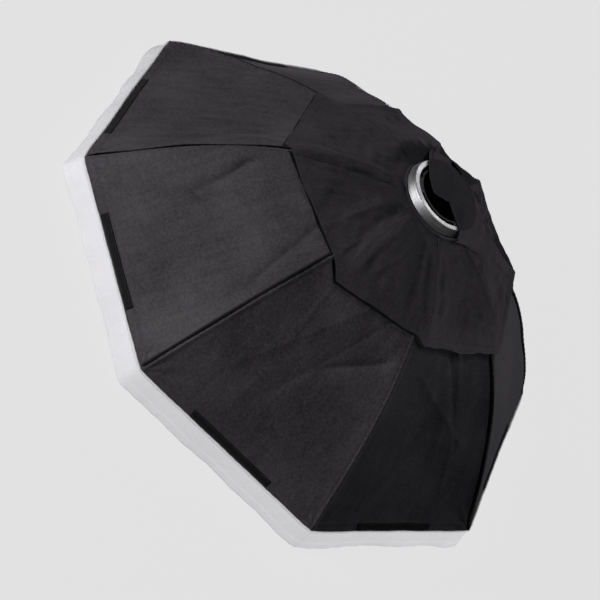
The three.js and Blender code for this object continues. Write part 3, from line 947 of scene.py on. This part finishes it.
def hood_height(u, v, x, y, far):
    """How far the hood's cloth stands off its flat panels; far is 1 on the slack side."""
    f = u - np.floor(u)
    middle = belly(f)
    angle = np.arctan2(y, x)
    rho = np.hypot(x, y)
    width = 2 * rho * math.sin(SECTOR / 2)
    from_ridge = np.minimum(f, 1 - f) * width
    height = -middle * width * (0.008 + 0.022 * np.sin(np.pi * v))
    height += 3.0 * MM * ripples(x, y, (0.05, 0.12), 9, 21) * np.sqrt(middle)
    height += 0.8 * MM * ripples(x, y, (0.018, 0.04), 10, 33) * smooth(from_ridge, 0, 8 * MM)
    gathered = smooth(rho, 0.075, 0.11) * (1 - smooth(rho, 0.13, 0.22))
    pleats = np.sin(angle * 22 + 1.7 * np.sin(angle * 5) + 9 * rho)
    height += (0.7 + 2.3 * far) * MM * pleats * middle * gathered
    ridge = 4.2 * MM * np.exp(-from_ridge / (8 * MM))
    trough = 2.4 * MM * np.exp(-((from_ridge - 15 * MM) / (7 * MM)) ** 2) * smooth(v, 0.04, 0.25)
    height += (ridge - trough) * smooth(rho, 0.07, 0.12)
    for start, end, rise in HOOD_FOLDS:
        fold = fold_line(x, y, in_plan(*start), in_plan(*end), rise * MM, 7 * MM)
        height += fold * smooth(middle, 0, 0.4)
    swollen = 1 - smooth(turned_from(angle, 0.0), math.radians(20), math.radians(55))
    height += 13 * MM * swollen * smooth(rho, 0.075, 0.11) * (1 - smooth(rho, 0.15, 0.23))
    return height


def kept_above(gap, softness):
    """A gap over the surface below, turned softly away from zero so that it never closes."""
    return (np.sqrt(gap ** 2 + softness ** 2) + gap) / 2


def laid_on_shell(points, hug):
    """Draws the hood down by a share, hug, of its height over the shell, and keeps it off the shell."""
    gap = points[..., 2] - shell_top(points[..., 0], points[..., 1]) - 3.8 * MM
    hugged = hug * np.clip(gap - 2.5 * MM, 0, None)
    points[..., 2] += kept_above(gap - hugged, 2 * MM) - gap
    return points


def hood_surface(u, v, extra=0.0):
    """The hood's outside at a place round it, u, and a share v of the way from hem to neck."""
    u, v = np.broadcast_arrays(np.asarray(u, float), np.asarray(v, float))
    inner = np.clip(v, 0, 1)
    points = hood_flat(u, inner) * hem_rounding(u, inner)
    x, y = points[..., 0], points[..., 1]
    angle = np.arctan2(y, x)
    far = 1 - smooth(turned_from(angle, SLACK_SIDE), math.radians(50), math.radians(95))
    height = hood_height(u, inner, x, y, far) + extra
    points = points + height[..., None] * outward(angle, inner)
    points = laid_on_shell(points, HEM_HUG * (1 - far) * (1 - smooth(inner, 0, 0.3)))
    return settled(neck_in(points, v))


def in_plan(radius, azimuth):
    """x and y of a place given by its radius in millimetres and its azimuth in degrees."""
    return polar(radius * MM, math.radians(azimuth), 0.0)[:2]


def outward(angle, v):
    """Outward direction of the hood, leaning less as it nears the neck."""
    return unit(polar(0.62 * (1 - 0.8 * v), angle, 1.0))


def neck_in(points, v):
    """Draws the last of the hood in to the round ring and stands its edge up against it."""
    angle = np.arctan2(points[..., 1], points[..., 0])
    rho = np.hypot(points[..., 0], points[..., 1])
    drawn = smooth(v, 0.78, 1.0)
    rho = rho * (1 - drawn) + (WALL + (1 - np.clip(v, 0, 1)) * 0.19) * drawn
    level = smooth(v, 0.9, 1.0)
    z = points[..., 2] * (1 - level) + COLLAR_BASE * level + 5 * MM * np.clip(v - 1, 0, 1)
    return polar(rho, angle, z)


def hood_hem_step(v):
    """How far the hem's doubled cloth stands out, and how its edge rolls under."""
    from_edge = v * HOOD_LENGTH
    doubled = 1 - smooth(from_edge, HOOD_HEM - 0.8 * MM, HOOD_HEM + 0.8 * MM)
    rolled = 1 - smooth(from_edge, 0, 2.5 * MM)
    return 0.5 * MM * doubled - 1.0 * MM * rolled


WINDOW_HALF = 13 * MM  # half the side of the square window over the lock knob
WINDOW_MIDDLE = WALL + 1 * MM + WINDOW_HALF


def window_cut(points):
    """Cuts a square window for the lock knob: the moved points, and which cells of cloth to keep."""
    angle = np.arctan2(points[..., 1], points[..., 0])
    rho = np.hypot(points[..., 0], points[..., 1])
    aside = ((angle - KNOB_ANGLE + np.pi) % (2 * np.pi) - np.pi) * rho
    along = rho - WINDOW_MIDDLE
    inside = (np.abs(aside) < WINDOW_HALF) & (np.abs(along) < WINDOW_HALF)
    sideways = inside & (np.abs(aside) > np.abs(along))
    aside = np.where(sideways, np.sign(aside) * WINDOW_HALF, aside)
    along = np.where(inside & ~sideways, np.sign(along) * WINDOW_HALF, along)
    rho = WINDOW_MIDDLE + along
    moved = polar(rho, KNOB_ANGLE + aside / rho, points[..., 2])
    columns = inside & np.roll(inside, -1, axis=0)
    return np.where(inside[..., None], moved, points), ~(columns[:, :-1] & columns[:, 1:])


def make_hood():
    hem = np.array([0, 0.8, 2, 4, 7, 10, 12.5, 14.4, 15.6, 17.5, 20.5]) * MM / HOOD_LENGTH
    main = np.linspace(25 * MM / HOOD_LENGTH, 1, 76)
    collar = [1.3, 1.6, 2.0]
    u = (1 + np.arange(SIDES)[:, None] + shell_columns(61)[None, :-1]).ravel()
    grid_u, grid_v = np.meshgrid(u, np.concatenate([hem, main, collar]), indexing="ij")
    points, keep = window_cut(hood_surface(grid_u, grid_v, hood_hem_step(grid_v)))
    uv = np.stack([grid_u * 0.2, grid_v * HOOD_LENGTH], axis=-1)
    hood = sheet("hood_cloth", points, [HOOD_CLOTH], HOOD_THICKNESS, uv, wrap=True, keep=keep)
    place(hood, "hood_fabric", replaces=["hood"])


SEAM_STRIP = np.array([7, 19, 7, 7, 7, 7, 7, 7]) * MM  # width of the lapped strip beside ridges 1 to 8


def make_hem_shade_tape():
    """A near-black band on the shell just under the hood's hem: painted shadow that shows as a dark line
    under the hem.
    """
    u = 1 + np.arange(SIDES * 50) / 50
    v = np.linspace(0.5 * MM, 17 * MM, 12) / HOOD_LENGTH
    flat = hood_flat(*np.meshgrid(u, v, indexing="ij"))
    points = settled(on_shell(flat[..., 0], flat[..., 1], 1.3 * MM))
    tape = sheet("hood_hem_tape", points, [SHADE_TAPE], 0.8 * MM, wrap=True)
    place(tape, "hook_and_loop")


def make_hood_strip(k):
    """The lapped strip beside ridge k, with a line of thread near its edge."""
    wide = SEAM_STRIP[k - 1]
    v = np.linspace(0.012, 0.97, 100)
    across = np.linspace(0, 1, 13)
    rho = np.hypot(*np.moveaxis(hood_corner(k, v)[..., :2], -1, 0))
    share = wide / (2 * rho * math.sin(SECTOR / 2))
    grid_u = k + 0.0005 + across[:, None] * share[None, :]
    grid_v = np.broadcast_to(v, grid_u.shape)
    edge = smooth(1 - across, 0, 0.12)[:, None]
    bulge = 3.6 * MM * (wide / (19 * MM)) ** 2 * np.sin(np.pi * across)[:, None] ** 2
    extra = hood_hem_step(grid_v) + (0.6 * MM + bulge) * edge
    points = hood_surface(grid_u, grid_v, extra)
    uv = np.stack([across[:, None] * wide + 0 * grid_v, grid_v * HOOD_LENGTH], axis=-1)
    place(sheet(f"hood_strip_{k}", points, [HOOD_CLOTH], 0.7 * MM, uv), "hood_fabric")
    stitching(f"strip_stitching_{k}", [(points[-3], grid_normals(points)[-3])], "hood_fabric")


def hood_line(u, v):
    """A line on the hood's hem, a thread's height above the cloth."""
    v = np.full_like(u, v)
    return hood_surface(u, v, hood_hem_step(v) + 0.2 * MM)


def make_hood_stitching():
    u = 1 + np.linspace(0, SIDES - 1e-6, SIDES * 120)
    rows = []
    for distance in (3 * MM, HOOD_HEM - 2.5 * MM):
        line = hood_line(u, distance / HOOD_LENGTH)
        inward = hood_line(u, distance / HOOD_LENGTH + 0.004) - line
        ahead = np.roll(line, -1, axis=0) - line
        rows.append((line[:-1], np.cross(ahead, inward)[:-1]))
    stitching("hood_stitching", rows, "hood_fabric")


FLAP_RADIUS = 122 * MM
FLAP_START = math.radians(187)  # the flap is sewn to the hood from this azimuth to the next
FLAP_END = math.radians(344)
FLAP_HEM = 7 * MM


def flap_edge(x):
    """The flap's free edge in plan: straight over the opening, then out in a rounded tongue."""
    tongue = 26 * MM - 57 * MM * np.clip(x / 0.1, 0, None) ** 3.2
    straight = -3 * MM
    return straight + (tongue - straight) * smooth(x, -12 * MM, 2 * MM)


def hood_top(x, y):
    """Height of the hood over a point in plan near the neck."""
    k, f, radius = sector_place(x, y)
    start = s_at_radius(0.252)
    v = np.clip((s_at_radius(radius) - start) / (NECK_S - start), 0, 1)
    return hood_surface(np.where(k < 1, k + SIDES, k) + f, v)[..., 2]


def flap_surface(t, w, lift=0.0):
    """The flap over the ring; t runs along its free edge and w from there to its stitched edge."""
    t, w = np.broadcast_arrays(np.asarray(t, float), np.asarray(w, float))
    outer = FLAP_START + (FLAP_END - FLAP_START) * t
    reach = FLAP_RADIUS * (0.6 + 0.4 * smooth(t, 0, 0.35))
    out_x, out_y = reach * np.cos(outer), reach * np.sin(outer)
    edge_x = 0.6 * FLAP_RADIUS * math.cos(FLAP_START) * (1 - t) + FLAP_RADIUS * math.cos(FLAP_END) * t
    edge_y = flap_edge(edge_x)
    x = edge_x * (1 - w) + out_x * w
    y = edge_y * (1 - w) + out_y * w
    rho = np.hypot(x, y)
    angle = np.arctan2(y, x)
    lip = RING_RADIUS - 3 * MM
    inside = np.clip(1 - (rho / lip) ** 2, 0, 1)
    waves = np.sin(angle * 9 + 1.3 * np.sin(angle * 4) + 20 * rho) * smooth(rho, lip, 0.1)
    slope = 1.3 - 0.8 * smooth(t, 0, 0.3)
    tent = RING_TOP + 2 * MM - slope * np.clip(rho - lip, 0, None) + 1.8 * MM * waves - 3 * MM * inside
    tent += 0.7 * MM * ripples(x, y, (0.03, 0.07), 7, 77)
    floor = hood_top(x, y) + 1.9 * MM
    z = floor + kept_above(tent - floor, 4 * MM) * (1 - smooth(w, 0.7, 1.0))
    from_edge = w * np.hypot(out_x - edge_x, out_y - edge_y)
    z = z + 0.7 * MM * (1 - smooth(from_edge, FLAP_HEM - 0.8 * MM, FLAP_HEM + 0.8 * MM)) + lift
    return np.stack([x, y, z], axis=-1)


def make_flap():
    """The loose flap of the hood that is drawn over the far half of the ring."""
    t = np.linspace(0.004, 0.996, 150)
    w = np.concatenate([np.linspace(0, 0.15, 14), np.linspace(0.17, 1, 50)])
    points = flap_surface(*np.meshgrid(t, w, indexing="ij"))
    cut_points, keep = window_cut(points)
    place(sheet("hood_flap", cut_points, [HOOD_CLOTH], HOOD_THICKNESS, keep=keep), "hood_fabric")
    width = np.linalg.norm(points[:, -1] - points[:, 0], axis=-1).clip(20 * MM)
    hem = flap_surface(t, (FLAP_HEM - 2 * MM) / width, 0.2 * MM)
    border = flap_surface(t[3:-3], 0.965, 0.2 * MM)
    rows = [(line, np.broadcast_to(UP, line.shape)) for line in (hem, border)]
    stitching("flap_stitching", rows, "hood_fabric")


# ---------------------------------------------------------------- rods, baffle and straps
def rod_line(k, s):
    """A rod's middle line: close under the cloth at the rim, deeper towards the ring."""
    r, z = profile(s, -(6 + 5 * s / NECK_S) * MM)
    return settled(polar(r, corner_angle(k), z))


def make_rod(k):
    line = rod_line(k, np.linspace(10 * MM, NECK_S - 6 * MM, 120))
    place(tube(f"spring_rod_{k}", line, 2.5 * MM, STEEL), "spring_rod", replaces=[f"rod_{k}"])
    tip = rod_line(k, np.linspace(6 * MM, 26 * MM, 14))
    swell = 3.6 * MM * np.sqrt(np.clip(np.linspace(0.15, 1.6, 14), 0, 1))
    place(tube(f"rod_cap_{k}", tip, swell, BLACK_PLASTIC), "black_plastic", replaces=[f"rod_tip_{k}"])


BAFFLE_HANG = 14 * MM  # the baffle hangs this much below its straps' outer ends


def baffle_place():
    """The baffle's corner radius and its height."""
    low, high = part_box("inner_baffle")
    return high.x / math.cos(SECTOR / 2), (low.z + high.z) / 2 - BAFFLE_HANG


def make_baffle():
    radius, height = baffle_place()
    u = 1 + np.arange(SIDES * 30) / 30
    x, y = octagon(u)
    r = np.concatenate([np.linspace(radius, radius - 12 * MM, 5), np.linspace(radius - 15 * MM, 8 * MM, 40)])
    pull = 0.03 + 0.08 * (u >= SIDES)  # its sides are drawn in by the straps, one of them most
    slack = 1 - (pull * belly(u % 1))[:, None]
    px, py = r * x[:, None] * slack, r * y[:, None] * slack
    pz = height - 9 * MM * (1 - (r / radius) ** 2) + 0.5 * MM * ripples(px, py, (0.08, 0.25), 8, 9)
    hem = 0.7 * MM * (1 - smooth(radius - r, 10 * MM, 12.5 * MM))
    points = np.stack([px, py, pz + hem], axis=-1)
    obj = sheet("baffle_cloth", points, [WHITE_INSIDE], 0.8 * MM, wrap=True)
    close_hole(obj, points[:, -1])
    place(obj, "baffle_fabric", replaces=["inner_baffle"])


def make_strap(k):
    """Elastic webbing from a baffle corner out to the rod."""
    radius, height = baffle_place()
    angle = corner_angle(k)
    inner = polar(radius - 12 * MM, angle, height + 1.2 * MM)
    rod = rod_line(k, np.linspace(0, NECK_S, 400))
    outer = rod[np.argmin(np.abs(rod[:, 2] - height - BAFFLE_HANG))] - polar(4 * MM, angle, 0)
    side = polar(1.0, angle + math.pi / 2, 0)
    t = np.linspace(0, 1, 40)[:, None]
    across = np.linspace(-6, 6, 7) * MM
    line = inner * (1 - t) + outer * t
    line[:, 2] -= 2 * MM * np.sin(np.pi * t[:, 0])
    points = line[:, None] + side * across[None, :, None]
    place(sheet(f"strap_{k}", points, [ELASTIC], 1.0 * MM), "elastic", replaces=[f"baffle_strap_{k}"])


# ---------------------------------------------------------------- ring, insert, clip and lock
SCREW_AXIS = polar(1.0, KNOB_ANGLE, 0.0)
SCREW_SIDE = polar(1.0, KNOB_ANGLE + math.pi / 2, 0.0)
SCREW_RADIUS = 2.2 * MM
SCREW_START = INSERT_RADIUS + 3.7 * MM
HEAD_START = RING_RADIUS + 7.5 * MM
HEAD_END = HEAD_START + 10 * MM
FLUTED_FROM = 4.5 * MM  # the knob's grip is fluted where its radius is more than this


def turned_on_screw(name, outline, material, flutes=0, depth=0.0, segments=96):
    """An outline of (distance along the screw, radius) turned about the screw's axis, with closed ends."""
    vertices = []
    for angle in np.arange(segments) * 2 * math.pi / segments:
        fluted = 1 - depth * (0.5 + 0.5 * math.cos(flutes * angle))
        spoke = SCREW_SIDE * math.cos(angle) + UP * math.sin(angle)
        for along, radius in outline:
            reach = radius * (fluted if radius > FLUTED_FROM else 1.0)
            vertices.append(SCREW_AXIS * along + spoke * reach + UP * KNOB_Z)
    count = len(outline)
    faces = grid_faces(segments, count, True)
    faces.append(tuple(i * count for i in reversed(range(segments))))
    faces.append(tuple(i * count + count - 1 for i in range(segments)))
    return new_object(name, vertices, faces, [material])


def make_lock():
    head = [(SCREW_START, 1.8 * MM), (SCREW_START + 0.4 * MM, SCREW_RADIUS), (HEAD_START, SCREW_RADIUS),
            (HEAD_START, 5.6 * MM), (HEAD_START + 0.7 * MM, 6.3 * MM), (HEAD_END - 1.1 * MM, 6.3 * MM),
            (HEAD_END - 0.3 * MM, 5.7 * MM), (HEAD_END, 4.6 * MM), (HEAD_END, 3.0 * MM)]
    knob = turned_on_screw("knob_head", head, BLACK_PLASTIC, flutes=14, depth=0.09, segments=168)
    place(knob, "black_plastic", body="lock_knob", replaces=["lock_knob"])
    boss = [(RING_RADIUS - 1.5 * MM, 8.0 * MM), (RING_RADIUS + 5.6 * MM, 8.0 * MM),
            (RING_RADIUS + 6.4 * MM, 7.2 * MM), (RING_RADIUS + 6.4 * MM, 3.6 * MM)]
    ring_boss = turned_on_screw("ring_boss", boss, SILVER)
    bore_for_screw(ring_boss)
    place(ring_boss, "silver_metal")


def bore_for_screw(ring):
    """Cuts the hole in which the lock screw and its pad slide."""
    bore = SCREW_RADIUS + 0.4 * MM
    hole = [(INSERT_RADIUS - 2 * MM, bore), (RING_RADIUS + 9 * MM, bore)]
    cutter = turned_on_screw("bore_cutter", hole, SILVER, segments=32)
    cut = ring.modifiers.new("bore", "BOOLEAN")
    cut.object = cutter
    cut.solver = "EXACT"
    bored = bpy.data.meshes.new_from_object(ring.evaluated_get(bpy.context.evaluated_depsgraph_get()))
    ring.modifiers.clear()
    ring.data = bored
    bpy.data.objects.remove(cutter)


def make_socket(k):
    """The ring's tapered arm that takes the end of a rod."""
    line = rod_line(k, np.linspace(NECK_S - 34 * MM, NECK_S - 2 * MM, 12))
    swell = np.concatenate([[5.2 * MM], np.linspace(5.6 * MM, 6.6 * MM, 11)])
    place(tube(f"ring_socket_{k}", line, swell, SILVER), "silver_metal")


def make_ring():
    bore = RING_RADIUS - 4.45 * MM
    ledge = FLANGE_TOP + 0.35 * MM
    bevel = 1.2 * MM
    outline = rounded([
        (bore, RING_BOTTOM), (RING_RADIUS, RING_BOTTOM),
        (RING_RADIUS, RING_TOP - 18 * MM), (RING_RADIUS - 2.8 * MM, RING_TOP - bevel),
        (RING_RADIUS - 4.2 * MM, RING_TOP), (LIP_BORE + bevel, RING_TOP),
        (LIP_BORE, RING_TOP - bevel), (LIP_BORE, ledge), (bore, ledge),
    ], 0.5 * MM)
    ring = lathe("ring_body", outline, SILVER, 180)
    bore_for_screw(ring)
    place(ring, "silver_metal", replaces=["speed_ring"])


def make_insert():
    outline = rounded([
        (COLLAR_BORE, insert_low.z), (INSERT_RADIUS, insert_low.z),
        (INSERT_RADIUS, FLANGE_TOP), (COLLAR_RADIUS, FLANGE_TOP),
        (COLLAR_RADIUS, insert_high.z), (COLLAR_BORE, insert_high.z),
    ], 0.4 * MM)
    body = lathe("insert_body", outline, BLACK_ANODISED, 144)
    place(body, "black_metal", body="insert", replaces=["bayonet_insert"])
    for lug in range(LUGS):
        make_lug(lug + 1, KNOB_ANGLE + lug * 2 * math.pi / LUGS)


def make_lug(number, middle):
    """One of the three lugs of the bayonet, with a bevelled outer edge."""
    top = insert_high.z
    bottom = top - 3.5 * MM
    root = COLLAR_RADIUS - 0.6 * MM
    reach = LIP_BORE - 0.7 * MM
    bevel = 0.5 * MM
    outline = np.array([(root, bottom), (reach - bevel, bottom), (reach, bottom + bevel),
                        (reach, top - bevel), (reach - bevel, top), (root, top)])
    angles = np.linspace(middle - LUG_HALF, middle + LUG_HALF, 19)
    count = len(outline)
    vertices = polar(outline[None, :, 0], angles[:, None], outline[None, :, 1]).reshape(-1, 3)
    faces = grid_faces(len(angles), count, False, closed_rows=True)
    faces.append(tuple(reversed(range(count))))
    faces.append(tuple((len(angles) - 1) * count + j for j in range(count)))
    lug = new_object(f"insert_lug_{number}", vertices, faces, [BLACK_ANODISED], smooth_shading=False)
    place(lug, "black_metal", body="insert")


# ---------------------------------------------------------------- build
for corner in PANELS:
    make_shell_panel(corner)
    make_shell_stitching(corner)
    make_seam_shade_tape(corner)
    make_corner_patch(corner)
    make_rim_tape(corner)
    make_hood_strip(corner)
    make_rod(corner)
    make_strap(corner)
    make_socket(corner)
make_piping()
make_diffuser()
make_hood()
make_hood_stitching()
make_hem_shade_tape()
make_flap()
make_baffle()
make_ring()
make_lock()
make_insert()

CAD_FINISHES = {"retaining_clip": STEEL, "lock_pad": NATURAL_NYLON}
for name, finish in CAD_FINISHES.items():
    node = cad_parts[name]
    node.data.materials.clear()
    node.data.materials.append(finish)


# ---------------------------------------------------------------- studio
def view_axes():
    """The camera's right, up and backward directions."""
    back = polar(math.cos(VIEW_ELEVATION), VIEW_AZIMUTH, math.sin(VIEW_ELEVATION))
    right = np.cross(UP, back)
    right /= np.linalg.norm(right)
    up = np.cross(back, right)
    c, s = math.cos(VIEW_ROLL), math.sin(VIEW_ROLL)
    return right * c + up * s, up * c - right * s, back


def add_camera():
    right, up, back = view_axes()
    data = bpy.data.cameras.new("camera")
    data.lens = 132
    data.clip_end = 30
    camera = bpy.data.objects.new("camera", data)
    aim = np.array((0, 0, RIM_Z)) - 0.062 * RIM_RADIUS * right - 0.057 * RIM_RADIUS * up
    where = aim + back * VIEW_DISTANCE
    camera.matrix_world = Matrix([(*row,) for row in zip(right, up, back, where)] + [(0, 0, 0, 1)])
    bpy.context.scene.collection.objects.link(camera)
    bpy.context.scene.camera = camera


BACKDROP = 0.75  # how pale the empty studio looks
FLOOR_GLOW = BACKDROP - 0.025


def add_floor():
    """A pale floor that glows a little, so that it stays even, and that is unseen from below."""
    size = 30
    mesh = bpy.data.meshes.new("floor")
    corners = [(-size, -size, 0), (size, -size, 0), (size, size, 0), (-size, size, 0)]
    mesh.from_pydata(corners, [], [(0, 1, 2, 3)])
    floor = bpy.data.objects.new("floor", mesh)
    bpy.context.scene.collection.objects.link(floor)
    n = Nodes("pale_floor")
    n.set(Base_Color=rgb(0.08), Roughness=1.0, Specular_IOR_Level=0.0)
    seen = n.add("LightPath").outputs["Is Camera Ray"]
    n.set(Emission_Color=rgb(1.0), Emission_Strength=n.times(seen, FLOOR_GLOW))
    clear = n.add("BsdfTransparent")
    back = n.add("NewGeometry").outputs["Backfacing"]
    blend = n.add("MixShader", {0: back, 1: n.shader.outputs[0], 2: clear.outputs[0]})
    n.feed(n.tree.nodes["Material Output"], "Surface", blend.outputs[0])
    mesh.materials.append(n.material)


def add_area_light(name, azimuth, elevation, size, power, distance=3.0):
    """A round soft light aimed at the origin; angles in degrees, sizes in metres, power in watts."""
    data = bpy.data.lights.new(name, "AREA")
    data.shape = "DISK"
    data.size = size
    data.energy = power
    light = bpy.data.objects.new(name, data)
    tilt = math.radians(elevation)
    where = Vector(polar(math.cos(tilt), math.radians(azimuth), math.sin(tilt))) * distance
    light.location = where
    light.rotation_euler = where.to_track_quat("Z", "Y").to_euler()
    bpy.context.scene.collection.objects.link(light)
    return light


def light_only(light, pieces):
    """Keeps a light to some of the pieces, like a small reflector held beside them."""
    group = bpy.data.collections.new(light.name + "_pieces")
    for piece in pieces:
        group.objects.link(piece)
    light.light_linking.receiver_collection = group


def add_world(strength):
    world = bpy.data.worlds.new("studio")
    world.use_nodes = True
    nodes, links = world.node_tree.nodes, world.node_tree.links
    background = nodes["Background"]
    background.inputs[0].default_value = (0.98, 0.98, 1.0, 1)
    seen = nodes.new("ShaderNodeMapRange")
    seen.inputs["To Min"].default_value = strength
    seen.inputs["To Max"].default_value = BACKDROP
    links.new(nodes.new("ShaderNodeLightPath").outputs["Is Camera Ray"], seen.inputs["Value"])
    links.new(seen.outputs[0], background.inputs[1])
    bpy.context.scene.world = world


add_camera()
add_floor()
add_world(0.12)
meshes = [obj for obj in bpy.data.objects if obj.type == "MESH"]
hood_pieces = [obj for obj in meshes if obj.name.startswith(("hood_", "strip_", "flap_"))]
other_pieces = [obj for obj in meshes if obj not in hood_pieces]
white_pieces = [bpy.data.objects["diffuser"], bpy.data.objects["piping"]]
light_only(add_area_light("key", 77, 6, 1.4, 105, distance=3.2), other_pieces)
add_area_light("top", 335, 72, 0.7, 14)
light_only(add_area_light("rim", 262, 16, 1.0, 9), other_pieces)
light_only(add_area_light("reflector", 193, 18, 1.6, 60), white_pieces)
light_only(add_area_light("hood_fill", 188, 12, 0.25, 54), hood_pieces)
light_only(add_area_light("hood_key", 52, 8, 0.25, 66), hood_pieces)
light_only(add_area_light("glint", 298, 42, 1.2, 16), [bpy.data.objects["ring_body"]])
bpy.context.scene.view_settings.view_transform = "Standard"
